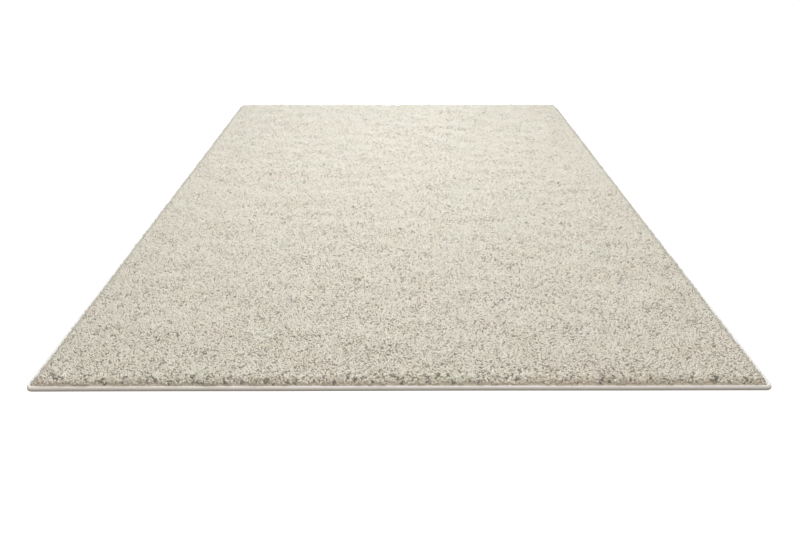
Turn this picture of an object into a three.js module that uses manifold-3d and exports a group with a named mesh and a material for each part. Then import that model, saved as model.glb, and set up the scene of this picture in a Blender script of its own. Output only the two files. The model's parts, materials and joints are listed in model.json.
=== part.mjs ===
// A rectangular shag rug that lies flat: one pile cloth, and a serged binding along each of its four edges.
// Millimetres, +Z up. The origin is on the floor, under the middle of the rug. +X runs across its width and +Y along
// its length.
import * as THREE from "three";
import { mergeVertices } from "three/addons/utils/BufferGeometryUtils.js";
import Module from "manifold-3d";

const wasm = await Module();
wasm.setup();

// Driving dimensions.
const RUG_WIDTH = 1600; // along X, over the binding
const RUG_LENGTH = 2300; // along Y, over the binding
const PILE_TOP = 27.5; // usual height of the tuft tips above the floor
const BINDING_WIDTH = 8;
const BINDING_HEIGHT = 9;
const SEAM = 0.5; // between the pile cloth and the binding, and between two bindings at a corner
const EDGE_SWAY = 1.2; // the most that a sewn edge wanders in from a straight line

// The pile cloth: its outline inside the binding, and the lattice of lumps on its crown.
const CLOTH_HALF_WIDTH = RUG_WIDTH / 2 - BINDING_WIDTH - SEAM;
const CLOTH_HALF_LENGTH = RUG_LENGTH / 2 - BINDING_WIDTH - SEAM;
const LUMP_PITCH = 40; // distance between neighbouring lumps and dips
const LUMP_RISE = 4.8; // how far a lump stands above PILE_TOP, and a dip below it
const LUMP_DRIFT = 0.28; // how far a lump strays from its lattice place, as a share of the pitch
const SWELL_RISE = 1.1; // broad, low waves under the lumps
const SWELL_LENGTH = { x: 520, y: 690 };

// The pile leans out and thins towards its rim. Each row is one ring round the cloth, from the floor up.
const RIM_RINGS = [
  { inset: 0, height: 0, roughness: 0 },
  { inset: 0, height: 5, roughness: 0 },
  { inset: 25, height: 25, roughness: 2.2 },
];
const CROWN_INSET = RIM_RINGS.at(-1).inset;

// Locks of yarn that hang out over the binding. Each row is one section of a lock, from its root in the pile to its
// tip: its inset from the cloth's edge, its height above the floor and its radius.
const LOCK_SECTIONS = [
  { inset: 27, height: 17, radius: 7 },
  { inset: 10, height: 15, radius: 7 },
  { inset: -4.2, height: 11.6, radius: 0 },
];
const LOCK_SIDES = 3;
const LOCK_SPACING = 26.5;
const LOCK_CORNER_MARGIN = 15; // from a corner of the cloth to the nearest lock's root
const LOCK_STRAY = 4; // how far a root strays along the edge from even spacing
const LOCK_LEAN = 5; // how far a tip strays along the edge from its root
const LOCK_GIRTH = 0.14; // how much thicker or thinner than usual a lock is, as a share
const LOCK_REACH = 2; // how far a tip's overhang varies
const LOCK_LIFT = 0.8; // how far a lock's middle varies in height

// The binding's section has a flat foot and a round back, and turns each corner about the cloth's own corner.
const BINDING_FOOT_RADIUS = 2.5;
const BINDING_STEP = 115; // between sections along a straight edge
const CORNER_STEPS = 3; // sections in half a corner's turn

// The four edges, by the direction that each one faces.
const EDGES = [
  { name: "front", out: [0, -1], phase: 0.4 },
  { name: "right", out: [1, 0], phase: 1.9 },
  { name: "back", out: [0, 1], phase: 3.1 },
  { name: "left", out: [-1, 0], phase: 4.6 },
];

// A repeatable random number from 0 to 1.
function randomFrom(seed) {
  let state = seed;
  return () => {
    state = (state + 0x6d2b79f5) | 0;
    let mixed = Math.imul(state ^ (state >>> 15), 1 | state);
    mixed = (mixed + Math.imul(mixed ^ (mixed >>> 7), 61 | mixed)) ^ mixed;
    return ((mixed ^ (mixed >>> 14)) >>> 0) / 2 ** 32;
  };
}

// A random number between -1 and 1 from such a source.
const spread = (random) => 2 * random() - 1;

// How far an edge wanders inwards at a share along it, from 0 at one corner to 1 at the other.
function edgeSway(edge, share) {
  const fade = Math.sin(Math.PI * share);
  return (EDGE_SWAY * fade * (1 + Math.sin(4 * Math.PI * share + edge.phase))) / 2;
}

// Half the cloth's size across an edge, and half its size along that edge.
function halfSizes(edge) {
  return edge.out[0] === 0
    ? { across: CLOTH_HALF_LENGTH, along: CLOTH_HALF_WIDTH }
    : { across: CLOTH_HALF_WIDTH, along: CLOTH_HALF_LENGTH };
}

// The direction along an edge, anticlockwise round the rug.
const alongEdge = (edge) => [-edge.out[1], edge.out[0]];

// A point of the floor plan near an edge: a distance along it from its middle, and an inset from the cloth's side.
function edgePoint(edge, along, inset) {
  const half = halfSizes(edge);
  const share = THREE.MathUtils.clamp(0.5 + along / (2 * half.along), 0, 1);
  const outwards = half.across - inset - edgeSway(edge, share);
  const [dx, dy] = alongEdge(edge);
  return [edge.out[0] * outwards + dx * along, edge.out[1] * outwards + dy * along];
}

// Turns a closed mesh with merged vertices into a solid.
function solidFrom(positions, triangles) {
  const geometry = new THREE.BufferGeometry();
  geometry.setAttribute("position", new THREE.Float32BufferAttribute(positions, 3));
  geometry.setIndex(triangles);
  const merged = mergeVertices(geometry, 1e-4);
  return new wasm.Manifold(
    new wasm.Mesh({
      numProp: 3,
      vertProperties: new Float32Array(merged.attributes.position.array),
      triVerts: new Uint32Array(merged.index.array),
    }),
  );
}

// Turns a solid back into a geometry with flat faces.
function geometryFrom(solid) {
  const mesh = solid.getMesh();
  const positions = new Float32Array(mesh.numVert * 3);
  for (let vertex = 0; vertex < mesh.numVert; vertex += 1) {
    const from = vertex * mesh.numProp;
    positions.set(mesh.vertProperties.subarray(from, from + 3), vertex * 3);
  }
  const indexed = new THREE.BufferGeometry();
  indexed.setAttribute("position", new THREE.BufferAttribute(positions, 3));
  indexed.setIndex(new THREE.BufferAttribute(mesh.triVerts, 1));
  const geometry = indexed.toNonIndexed();
  geometry.computeVertexNormals();
  return geometry;
}

// The lumpy slab of the pile cloth, without its locks.
function lumpySlab() {
  const random = randomFrom(17);
  const crown = {
    x: CLOTH_HALF_WIDTH - CROWN_INSET,
    y: CLOTH_HALF_LENGTH - CROWN_INSET,
  };
  const columns = Math.round((2 * crown.x) / LUMP_PITCH);
  const rows = Math.round((2 * crown.y) / LUMP_PITCH);
  const positions = [];
  const triangles = [];
  const addPoint = (x, y, z) => positions.push(x, y, z) / 3 - 1;
  const addQuad = (a, b, c, d) => triangles.push(a, b, c, a, c, d);

  // The crown: lumps and dips on a lattice whose inner points stray from their places.
  const crownPoints = [];
  for (let row = 0; row <= rows; row += 1) {
    for (let column = 0; column <= columns; column += 1) {
      const inner = row > 0 && row < rows && column > 0 && column < columns;
      const drift = inner ? LUMP_DRIFT * LUMP_PITCH : 0;
      const x = crown.x * ((2 * column) / columns - 1) + drift * spread(random);
      const y = crown.y * ((2 * row) / rows - 1) + drift * spread(random);
      const swell =
        SWELL_RISE * Math.sin((2 * Math.PI * x) / SWELL_LENGTH.x) * Math.cos((2 * Math.PI * y) / SWELL_LENGTH.y);
      const rim = RIM_RINGS.at(-1);
      const z = inner
        ? PILE_TOP + swell + LUMP_RISE * spread(random)
        : rim.height + rim.roughness * spread(random);
      crownPoints.push(addPoint(x, y, z));
    }
  }
  const crownPoint = (column, row) => crownPoints[row * (columns + 1) + column];
  for (let row = 0; row < rows; row += 1) {
    for (let column = 0; column < columns; column += 1) {
      const corners = [
        crownPoint(column, row),
        crownPoint(column + 1, row),
        crownPoint(column + 1, row + 1),
        crownPoint(column, row + 1),
      ];
      // The diagonals alternate, so that the lumps show no grain.
      const turn = (row + column) % 2;
      addQuad(...corners.slice(turn), ...corners.slice(0, turn));
    }
  }

  // The rim: rings below the crown's border, point for point, anticlockwise from the front left corner.
  const counts = { front: columns, right: rows, back: columns, left: rows };
  const border = [];
  for (let step = 0; step < columns; step += 1) border.push(crownPoint(step, 0));
  for (let step = 0; step < rows; step += 1) border.push(crownPoint(columns, step));
  for (let step = columns; step > 0; step -= 1) border.push(crownPoint(step, rows));
  for (let step = rows; step > 0; step -= 1) border.push(crownPoint(0, step));
  const ringPoints = (ring) =>
    EDGES.flatMap((edge) => {
      const half = halfSizes(edge);
      return Array.from({ length: counts[edge.name] }, (_, step) => {
        const share = step / counts[edge.name];
        const along = (2 * share - 1) * (half.along - ring.inset);
        const [x, y] = edgePoint(edge, along, ring.inset);
        return addPoint(x, y, ring.height + ring.roughness * spread(random));
      });
    });
  const rings = [...RIM_RINGS.slice(0, -1).map(ringPoints), border];
  const around = border.length;
  for (let level = 0; level + 1 < rings.length; level += 1) {
    for (let step = 0; step < around; step += 1) {
      const next = (step + 1) % around;
      addQuad(rings[level][step], rings[level][next], rings[level + 1][next], rings[level + 1][step]);
    }
  }

  // The flat underside: a fan about the origin.
  const middle = addPoint(0, 0, 0);
  for (let step = 0; step < around; step += 1) {
    triangles.push(middle, rings[0][(step + 1) % around], rings[0][step]);
  }
  return solidFrom(positions, triangles);
}

// One lock of yarn at a place along an edge: a three-sided spike, bent over the binding.
function rimLock(edge, along, random) {
  const lean = LOCK_LEAN * spread(random);
  const reach = LOCK_REACH * spread(random);
  const lift = LOCK_LIFT * spread(random);
  const girth = 1 + LOCK_GIRTH * spread(random);
  const last = LOCK_SECTIONS.length - 1;
  const positions = [];
  const [dx, dy] = alongEdge(edge);
  LOCK_SECTIONS.forEach((section, index) => {
    const stray = (index / last) ** 2;
    const [x, y] = edgePoint(edge, along + lean * stray, section.inset + reach * stray);
    const z = section.height + (index === 1 ? lift : 0);
    const corners = section.radius > 0 ? LOCK_SIDES : 1;
    for (let corner = 0; corner < corners; corner += 1) {
      const angle = Math.PI / 2 + (2 * Math.PI * corner) / LOCK_SIDES;
      const sideways = girth * section.radius * Math.cos(angle);
      positions.push(x + dx * sideways, y + dy * sideways, z + girth * section.radius * Math.sin(angle));
    }
  });
  const triangles = [2, 1, 0];
  const tip = last * LOCK_SIDES;
  for (let corner = 0; corner < LOCK_SIDES; corner += 1) {
    const next = (corner + 1) % LOCK_SIDES;
    for (let section = 0; section + 1 < last; section += 1) {
      const base = section * LOCK_SIDES;
      const far = base + LOCK_SIDES;
      triangles.push(base + corner, base + next, far + next, base + corner, far + next, far + corner);
    }
    const base = (last - 1) * LOCK_SIDES;
    triangles.push(base + corner, base + next, tip);
  }
  return solidFrom(positions, triangles);
}

// Every lock round the rim.
function rimLocks() {
  const random = randomFrom(43);
  return EDGES.flatMap((edge) => {
    const half = halfSizes(edge).along - LOCK_CORNER_MARGIN;
    const count = Math.floor((2 * half) / LOCK_SPACING) + 1;
    return Array.from({ length: count }, (_, index) => {
      const even = half * ((2 * index) / (count - 1) - 1);
      return rimLock(edge, even + LOCK_STRAY * spread(random), random);
    });
  });
}

// The binding's section, from the cloth outwards and from the floor up.
function bindingSection() {
  const crown = BINDING_WIDTH / 2;
  const shape = new THREE.Shape();
  shape.moveTo(BINDING_FOOT_RADIUS, 0);
  shape.lineTo(BINDING_WIDTH - BINDING_FOOT_RADIUS, 0);
  shape.absarc(BINDING_WIDTH - BINDING_FOOT_RADIUS, BINDING_FOOT_RADIUS, BINDING_FOOT_RADIUS, -Math.PI / 2, 0);
  shape.absarc(crown, BINDING_HEIGHT - crown, crown, 0, Math.PI / 2);
  shape.absarc(crown, BINDING_HEIGHT - crown, crown, Math.PI / 2, Math.PI);
  shape.absarc(BINDING_FOOT_RADIUS, BINDING_FOOT_RADIUS, BINDING_FOOT_RADIUS, Math.PI, (3 * Math.PI) / 2);
  const points = shape.getPoints(1);
  return points.filter((point, index) => point.distanceTo(points.at(index - 1)) > 1e-3);
}

// One edge's binding: the section carried along the edge, and round half of the corner at each end.
function edgeBinding(edge) {
  const half = halfSizes(edge);
  const [dx, dy] = alongEdge(edge);
  const straight = half.along - SEAM * Math.SQRT1_2;
  const steps = Math.round((2 * straight) / BINDING_STEP);
  const stations = [];
  const addStation = (along, turn) => {
    const [x, y] = edgePoint(edge, along, 0);
    const outwards = [
      edge.out[0] * Math.cos(turn) + dx * Math.sin(turn),
      edge.out[1] * Math.cos(turn) + dy * Math.sin(turn),
    ];
    stations.push({ x, y, outwards });
  };
  const turnAt = (step) => ((Math.PI / 4) * step) / CORNER_STEPS;
  for (let step = CORNER_STEPS; step > 0; step -= 1) addStation(-straight, -turnAt(step));
  for (let step = 0; step <= steps; step += 1) addStation(straight * ((2 * step) / steps - 1), 0);
  for (let step = 1; step <= CORNER_STEPS; step += 1) addStation(straight, turnAt(step));

  const section = bindingSection();
  const positions = stations.flatMap(({ x, y, outwards }) =>
    section.flatMap((point) => [
      x + outwards[0] * (SEAM + point.x),
      y + outwards[1] * (SEAM + point.x),
      point.y,
    ]),
  );
  const triangles = [];
  const sides = section.length;
  const end = (stations.length - 1) * sides;
  for (let side = 0; side < sides; side += 1) {
    const next = (side + 1) % sides;
    for (let base = 0; base < end; base += sides) {
      const far = base + sides;
      triangles.push(base + side, far + next, base + next, base + side, far + side, far + next);
    }
  }
  for (const [a, b, c] of THREE.ShapeUtils.triangulateShape(section, [])) {
    triangles.push(a, b, c, end + a, end + c, end + b);
  }
  return solidFrom(positions, triangles);
}

const pileYarn = new THREE.MeshStandardMaterial({ color: 0xdad3c3, roughness: 0.95, metalness: 0 });
const bindingYarn = new THREE.MeshStandardMaterial({ color: 0xe3ded3, roughness: 0.8, metalness: 0 });

const rug = new THREE.Group();

function addPiece(name, solid, material) {
  const mesh = new THREE.Mesh(geometryFrom(solid), material);
  mesh.name = name;
  rug.add(mesh);
}

const lockedRim = rimLocks().reduce((joined, lock) => joined.add(lock));
addPiece("shag_pile", lumpySlab().add(lockedRim), pileYarn);
for (const edge of EDGES) addPiece(`binding_${edge.name}`, edgeBinding(edge), bindingYarn);

export default rug;
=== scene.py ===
# %% [markdown]
# # A cut-pile shag rug
# This lesson dresses a plain model of a rug: 1.6 by 2.3 metres, about 3 cm high. The real one has three
# things to look at: a woven ground cloth, hundreds of thousands of cut ends of twisted yarn that stand and
# lean on it, and a serged edge, where a thick yarn is wound round the rim so that it can't fray. The model
# comes first. It gives the rug's true size and the lumps of its pile, and nothing here moves it.

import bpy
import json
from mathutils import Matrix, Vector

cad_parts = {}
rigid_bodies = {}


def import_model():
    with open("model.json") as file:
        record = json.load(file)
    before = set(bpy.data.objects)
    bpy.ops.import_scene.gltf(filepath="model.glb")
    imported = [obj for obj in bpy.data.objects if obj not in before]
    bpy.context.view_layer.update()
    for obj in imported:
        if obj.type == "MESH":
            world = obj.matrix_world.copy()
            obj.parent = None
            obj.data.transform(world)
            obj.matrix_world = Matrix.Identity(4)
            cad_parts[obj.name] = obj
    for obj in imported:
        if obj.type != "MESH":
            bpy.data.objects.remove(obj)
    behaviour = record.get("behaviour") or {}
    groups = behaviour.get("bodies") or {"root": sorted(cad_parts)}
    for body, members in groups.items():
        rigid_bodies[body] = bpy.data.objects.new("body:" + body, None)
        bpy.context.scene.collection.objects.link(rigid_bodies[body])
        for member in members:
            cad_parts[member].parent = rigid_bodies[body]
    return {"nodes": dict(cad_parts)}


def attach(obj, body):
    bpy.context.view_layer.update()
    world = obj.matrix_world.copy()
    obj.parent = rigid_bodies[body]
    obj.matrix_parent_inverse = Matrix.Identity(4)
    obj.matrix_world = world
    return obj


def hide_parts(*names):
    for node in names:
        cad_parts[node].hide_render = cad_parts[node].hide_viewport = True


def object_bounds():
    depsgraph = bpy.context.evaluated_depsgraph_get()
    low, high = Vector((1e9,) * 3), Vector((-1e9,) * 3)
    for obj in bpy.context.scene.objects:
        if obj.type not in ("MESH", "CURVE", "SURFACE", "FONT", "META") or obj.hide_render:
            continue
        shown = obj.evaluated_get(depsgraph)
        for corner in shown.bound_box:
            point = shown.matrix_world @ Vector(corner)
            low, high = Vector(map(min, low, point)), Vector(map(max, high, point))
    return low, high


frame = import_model()
cad_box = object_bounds()
print("CAD box", [tuple(round(value, 4) for value in corner) for corner in cad_box])

# %% Tools and units
import json
import math

import bpy
import numpy as np
from mathutils import Vector
from mathutils.bvhtree import BVHTree
from mathutils.kdtree import KDTree

MM = 0.001
scene = bpy.context.scene


def add_object(name, data):
    """A new object with this data, in the scene."""
    made = bpy.data.objects.new(name, data)
    scene.collection.objects.link(made)
    return made


# %% [markdown]
# ## Camera
# The rug is seen from a standing child's height, past the middle of one short side. The lens is a moderate
# wide angle, so the long sides run together towards the far end. The camera comes before any piece, because
# every choice of detail depends on how large a tuft is in its view.

# %% Camera
CAMERA_PLACE = (-0.0028, -2.3486, 0.9268)
CAMERA_DOWN = math.radians(27.59)
CAMERA_RIGHT = math.radians(0.168)
CAMERA_LENS = 31.44
SENSOR_WIDTH = 36.0

camera_data = bpy.data.cameras.new("camera")
camera_data.lens = CAMERA_LENS
camera_data.sensor_width = SENSOR_WIDTH
camera = add_object("camera", camera_data)
camera.location = CAMERA_PLACE
camera.rotation_euler = (math.pi / 2 - CAMERA_DOWN, 0.0, -CAMERA_RIGHT)
scene.camera = camera
print("camera", CAMERA_PLACE[2], "m above the floor,", CAMERA_LENS, "mm lens")

# %% [markdown]
# ## Studio
# A pale sweep of floor in a pale room, which lights the rug evenly from all round, a little warmer from the
# front. One long soft lamp hangs above the rug's middle, and a weak, wide and cooler one past its far end.
# Most of the light falls steeply, so the tops of the tufts are bright, the long sides are a little dimmer
# than the middle, and the front of the rim is in shade. The floor is overexposed to white, as shops like to
# show a rug. It glows for the camera only, so it throws no extra light on the rug.

# %% Colour helper
def linear(code):
    """A colour in linear light, from its sRGB hex code."""
    channels = [int(code[place:place + 2], 16) / 255 for place in (1, 3, 5)]
    return tuple(c / 12.92 if c <= 0.04045 else ((c + 0.055) / 1.055) ** 2.4 for c in channels) + (1.0,)


# %% Node helper
def add_node(tree, kind, inputs=None, **settings):
    """Adds a node, gives it these settings, and fills each named input with a value or a link."""
    node = tree.nodes.new(kind)
    for name, value in settings.items():
        setattr(node, name, value)
    for name, value in (inputs or {}).items():
        if isinstance(value, bpy.types.NodeSocket):
            tree.links.new(value, node.inputs[name])
        else:
            node.inputs[name].default_value = value
    return node


# %% Room
ROOM_FRONT = ("#FFEEDC", 0.465)
ROOM_BACK = ("#FFFCF8", 0.455)

world = bpy.data.worlds.new("pale_room")
scene.world = world
world.use_nodes = True
room = world.node_tree
view = add_node(room, "ShaderNodeTexCoord").outputs["Generated"]
look = add_node(room, "ShaderNodeSeparateXYZ", {"Vector": view})
back_share = add_node(room, "ShaderNodeMapRange", {"Value": look.outputs["Y"], "From Min": -1.0})
front, back = (
    [strength * channel for channel in linear(code)] for code, strength in (ROOM_FRONT, ROOM_BACK)
)
mixed = {"Factor": back_share.outputs["Result"], "A": front, "B": back}
walls = add_node(room, "ShaderNodeMix", mixed, data_type="RGBA")
room.links.new(walls.outputs["Result"], room.nodes["Background"].inputs["Color"])

# %% Lamps
# Name, width, length, place, target, power in watts, and colour.
LAMPS = (
    ("long_softbox", 1.0, 3.5, (0.0, 0.12, 2.0), (0.0, -0.1, 0.0), 43.6, "#F2F8FD"),
    ("back_softbox", 3.0, 1.0, (0.0, 2.6, 1.6), (0.0, 1.0, 0.0), 14.0, "#DCF8FF"),
)

for name, width, length, place, target, power, colour in LAMPS:
    lamp_data = bpy.data.lights.new(name, "AREA")
    lamp_data.shape = "RECTANGLE"
    lamp_data.size = width
    lamp_data.size_y = length
    lamp_data.energy = power
    lamp_data.color = linear(colour)[:3]
    lamp = add_object(name, lamp_data)
    lamp.location = place
    lamp.rotation_euler = (Vector(target) - Vector(place)).to_track_quat("-Z", "Y").to_euler()
    print(name, power, "W")
scene.view_settings.view_transform = "Standard"


# %% Material helper
def new_material(name):
    """An empty node material, and the tree that it is built in."""
    material = bpy.data.materials.new(name)
    material.use_nodes = True
    material.node_tree.nodes.clear()
    print("material", name)
    return material, material.node_tree


# %% Floor
FLOOR_HALF = 30.0
FLOOR_DROP = 0.4 * MM
FLOOR_GLOW = 0.85

floor_material, tree = new_material("matt_painted_floor")
seen = add_node(tree, "ShaderNodeLightPath").outputs["Is Camera Ray"]
glow = add_node(tree, "ShaderNodeMath", {0: seen, 1: FLOOR_GLOW}, operation="MULTIPLY")
paint = add_node(
    tree,
    "ShaderNodeBsdfPrincipled",
    {
        "Base Color": linear("#DCDCDC"),
        "Roughness": 0.9,
        "Specular IOR Level": 0.0,
        "Emission Color": linear("#FFFFFF"),
        "Emission Strength": glow.outputs[0],
    },
)
add_node(tree, "ShaderNodeOutputMaterial", {"Surface": paint.outputs["BSDF"]})

floor_mesh = bpy.data.meshes.new("floor")
floor_mesh.from_pydata(
    [(x * FLOOR_HALF, y * FLOOR_HALF, -FLOOR_DROP) for x, y in ((-1, -1), (1, -1), (1, 1), (-1, 1))],
    [],
    [(0, 1, 2, 3)],
)
floor_mesh.materials.append(floor_material)
floor = add_object("floor", floor_mesh)

# %% [markdown]
# ## The rug's plan
# Every piece needs the same few facts about a place on the rug: how far it lies inside the cloth's edge,
# which way is outwards, and how high the pile is there. The edge wanders by less than a millimetre, as a
# sewn edge does. The height of the lumps is read from the plain model, so that the dressed rug swells where
# it does.

# %% Sizes
HALF_WIDTH, HALF_LENGTH = cad_box[1].x, cad_box[1].y
BINDING_WIDTH = 8.0 * MM
SEAM = 0.5 * MM
CLOTH_HALF_WIDTH = HALF_WIDTH - BINDING_WIDTH - SEAM
CLOTH_HALF_LENGTH = HALF_LENGTH - BINDING_WIDTH - SEAM
print("cloth", round(2 * CLOTH_HALF_WIDTH, 4), "by", round(2 * CLOTH_HALF_LENGTH, 4), "m")

# %% Edge
EDGE_SWAY = 0.7 * MM
SWAY_PHASES = {"front": 0.4, "right": 1.9, "back": 3.1, "left": 4.6}


def edge_sway(side, share):
    """How far an edge wanders inwards, at a share along it from 0 to 1."""
    fade = np.sin(np.pi * share)
    return EDGE_SWAY * fade * (1 + np.sin(4 * np.pi * share + SWAY_PHASES[side])) / 2


def insets(x, y):
    """How far points lie inside the cloth's long sides and its short sides."""
    along_x = np.clip(0.5 + x / (2 * CLOTH_HALF_WIDTH), 0, 1)
    along_y = np.clip(0.5 + y / (2 * CLOTH_HALF_LENGTH), 0, 1)
    sway_x = np.where(x > 0, edge_sway("right", along_y), edge_sway("left", 1 - along_y))
    sway_y = np.where(y > 0, edge_sway("back", 1 - along_x), edge_sway("front", along_x))
    return CLOTH_HALF_WIDTH - sway_x - np.abs(x), CLOTH_HALF_LENGTH - sway_y - np.abs(y)


# %% Outwards
CORNER_BLEND = 12.0 * MM
# Keeps a length from being zero where it is divided by.
TINY = 1e-9


def outwards(x, y):
    """The direction out over the nearest edge, turning smoothly at the corners."""
    inset_x, inset_y = insets(x, y)
    pull_x = np.sign(x) * np.exp(-np.maximum(inset_x, 0) / CORNER_BLEND)
    pull_y = np.sign(y) * np.exp(-np.maximum(inset_y, 0) / CORNER_BLEND)
    size = np.maximum(np.hypot(pull_x, pull_y), TINY)
    return pull_x / size, pull_y / size


# %% Lumps, read from the plain model
LUMP_STEP = 10.0 * MM
RIM_WIDTH = 25.0 * MM
ABOVE_RUG = 1.0
DOWN = Vector((0, 0, -1))

pile_model = frame["nodes"]["shag_pile"]
model_faces = BVHTree.FromPolygons(
    [vertex.co.copy() for vertex in pile_model.data.vertices],
    [tuple(face.vertices) for face in pile_model.data.polygons],
)
crown_x = np.arange(-CLOTH_HALF_WIDTH + RIM_WIDTH, CLOTH_HALF_WIDTH - RIM_WIDTH, LUMP_STEP)
crown_y = np.arange(-CLOTH_HALF_LENGTH + RIM_WIDTH, CLOTH_HALF_LENGTH - RIM_WIDTH, LUMP_STEP)
crown = np.array(
    [[model_faces.ray_cast(Vector((x, y, ABOVE_RUG)), DOWN)[0].z for x in crown_x] for y in crown_y]
)
# Each reading is averaged with its neighbours twice, which rounds off the model's flat facets.
for axis in (0, 1, 0, 1):
    before = np.concatenate([crown.take([0], axis), crown.take(range(crown.shape[axis] - 1), axis)], axis)
    after = np.concatenate([crown.take(range(1, crown.shape[axis]), axis), crown.take([-1], axis)], axis)
    crown = (before + 2 * crown + after) / 4
PILE_TOP = float(crown.mean())
print("pile top", round(PILE_TOP / MM, 1), "mm, lumps", round(float(crown.std()) / MM, 2), "mm")

# %% Height of the lumps
# Just short of the last reading, counted back, so that each place has a next one.
LAST_READING = 1.001


def lump_height(x, y):
    """How far the pile stands above or below its usual height, between the readings."""
    column = np.clip((x - crown_x[0]) / LUMP_STEP, 0, len(crown_x) - LAST_READING)
    row = np.clip((y - crown_y[0]) / LUMP_STEP, 0, len(crown_y) - LAST_READING)
    i, j = column.astype(int), row.astype(int)
    u, v = column - i, row - j
    near = crown[j, i] * (1 - u) + crown[j, i + 1] * u
    far = crown[j + 1, i] * (1 - u) + crown[j + 1, i + 1] * u
    return near * (1 - v) + far * v - PILE_TOP


# %% [markdown]
# ## Heights over the plan
# The tips of the yarn rise from the serging and level out 25 mm in. A quarter of a sine, raised to a power,
# gives this rounded shoulder, and it is fuller at the two short sides than along the long ones. Under the
# tips, the yarn is packed too close to see between, up to a few millimetres from the top, and a little
# deeper at the rim.

# %% Shoulder
TIP_EDGE = 8.8 * MM
SIDE_START = 0.08
SIDE_FULLNESS = 1.6
FRONT_START = 0.28
FRONT_FULLNESS = 0.6
BED_DROP = 3.4 * MM
BED_RIM_DROP = 0.6 * MM


def rim_rise(x, y):
    """From a small share at the cloth's edge to 1 where the rim ends."""
    side, front = (np.sin(np.pi / 2 * np.clip(inset / RIM_WIDTH, 0, 1)) for inset in insets(x, y))
    side = SIDE_START + (1 - SIDE_START) * side**SIDE_FULLNESS
    return side * (FRONT_START + (1 - FRONT_START) * front**FRONT_FULLNESS)


def tip_height(x, y):
    """The height that the yarn's cut tips reach."""
    return TIP_EDGE + (PILE_TOP + lump_height(x, y) - TIP_EDGE) * rim_rise(x, y)


def bed_height(x, y):
    """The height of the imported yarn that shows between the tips."""
    return tip_height(x, y) - BED_DROP - BED_RIM_DROP * (1 - rim_rise(x, y))


# %% [markdown]
# ## Ground cloth and bed
# The ground is a stiff woven cloth, 1.8 mm thick, and it lies flat. The lower part of the pile, the bed, is
# a closed lumpy slab on it. It could have been one piece with the cloth, but the cloth is a sheet that was
# cut to size, and the yarn is not. For both, a closed ring of edge points is joined to a top and an
# underside.

# %% Closed slab
RIM_STOPS = np.array([0.0, 3.0, 8.0, 15.0, 24.0]) * MM


def grid_line(half, step):
    """Places from one edge of the cloth to the other, close together at the rims."""
    inner = half - RIM_STOPS[-1]
    count = round(2 * inner / step)
    middle = np.linspace(-inner, inner, count + 1)[1:-1]
    return np.concatenate([-half + RIM_STOPS, middle, (half - RIM_STOPS)[::-1]])


def slab(name, foot, top_height, step):
    """A grid that follows a height, a flat face under it at the foot, and the wall between them."""
    xs, ys = np.meshgrid(grid_line(CLOTH_HALF_WIDTH, step), grid_line(CLOTH_HALF_LENGTH, step))
    rows, columns = xs.shape
    inset_x, inset_y = insets(xs, ys)
    x = xs + np.sign(xs) * np.minimum(inset_x, 0)
    y = ys + np.sign(ys) * np.minimum(inset_y, 0)
    top = np.stack([x, y, top_height(x, y)], axis=-1).reshape(-1, 3)
    number = np.arange(rows * columns).reshape(rows, columns)
    upper = np.stack([number[:-1, :-1], number[:-1, 1:], number[1:, 1:], number[1:, :-1]], -1).reshape(-1, 4)
    rim = np.concatenate([number[0, :-1], number[:-1, -1], number[-1, :0:-1], number[:0:-1, 0]])
    low = rows * columns + np.arange(len(rim))
    wall = np.stack([low, np.roll(low, -1), np.roll(rim, -1), rim], -1)
    places = np.concatenate([top, top[rim] * (1, 1, 0) + (0, 0, foot)])
    mesh = bpy.data.meshes.new(name)
    mesh.from_pydata(places.tolist(), [], [*upper.tolist(), *wall.tolist(), low[::-1].tolist()])
    mesh.shade_smooth()
    mesh.polygons[-1].use_smooth = False
    mesh.calc_loop_triangles()
    print(name, len(mesh.loop_triangles), "triangles")
    return add_object(name, mesh)


# %% Cloth and bed
CLOTH_THICKNESS = 1.8 * MM
CLOTH_STEP = 60.0 * MM
BED_STEP = 17.0 * MM
BED_FOOT = CLOTH_THICKNESS + 0.2 * MM
BED_LOWEST = BED_FOOT + 0.1 * MM

ground = slab("ground_cloth", 0.0, lambda x, y: np.full_like(x, CLOTH_THICKNESS), CLOTH_STEP)
bed = slab("pile_bed", BED_FOOT, lambda x, y: np.maximum(bed_height(x, y), BED_LOWEST), BED_STEP)

# %% [markdown]
# ## Tufts
# A tuft is seven ends of yarn in one hole of the cloth. The loom sets the tufts in staggered rows, and use
# pushes them about, so each strays, leans and stands its own way. Tufts strewn at random would leave heaps
# and bare spots, which a loom doesn't, so the rows are worked out and only the strays are random, from a
# fixed seed.

# %% Rows of tufts
TUFT_PITCH = 12.1 * MM
ROW_PITCH = TUFT_PITCH * math.sqrt(3) / 2
ROW_SHIFT = 0.5
TUFT_STRAY = 0.11
TUFT_LEAN = math.radians(4)
TUFT_HEIGHT = 0.25 * MM

rng = np.random.default_rng(11)


def plant_tufts():
    """The middle of each tuft, how high it stands, and how far it leans each way."""
    columns = int(2 * CLOTH_HALF_WIDTH / TUFT_PITCH)
    rows = int(2 * CLOTH_HALF_LENGTH / ROW_PITCH)
    column, row = np.meshgrid(np.arange(columns), np.arange(rows))
    x = (column + ROW_SHIFT * (row % 2) - columns / 2 + ROW_SHIFT / 2).ravel() * TUFT_PITCH
    y = (row - (rows - 1) / 2).ravel() * ROW_PITCH
    stray = TUFT_PITCH * TUFT_STRAY * rng.normal(size=(2, x.size))
    lean = TUFT_LEAN * rng.normal(size=(2, x.size))
    rise = TUFT_HEIGHT * rng.normal(size=x.size)
    return x + stray[0], y + stray[1], rise, lean


tuft_x, tuft_y, tuft_rise, tuft_lean = plant_tufts()
print("tufts", len(tuft_x))

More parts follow.
